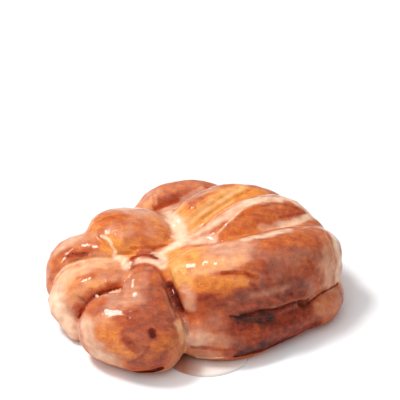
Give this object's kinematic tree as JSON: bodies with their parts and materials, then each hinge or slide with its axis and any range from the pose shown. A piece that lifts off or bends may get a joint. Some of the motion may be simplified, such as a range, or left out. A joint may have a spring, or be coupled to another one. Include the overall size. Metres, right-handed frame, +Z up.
{
  "type": "apple fritter",
  "caption": "Glazed apple fritter: a flattish lump of fried dough with plump lobes and deep folds, resting flat, with a thin puddle of set glaze at its foot.",
  "frame": {"origin": "below the middle of the fritter's box, on the surface it rests on", "axes": "+X along the fritter's longest side, +Z up, and the side with the puddle faces -Y"},
  "size_m": [0.1196, 0.1021, 0.0391],
  "materials": {
    "dough": "fried dough, golden brown and mottled, under a thin clear sugar glaze",
    "glaze": "set sugar glaze, milky white and glossy"
  },
  "bodies": {
    "root": {"fritter": "dough", "glaze_pool": "glaze"}
  },
  "joints": []
}
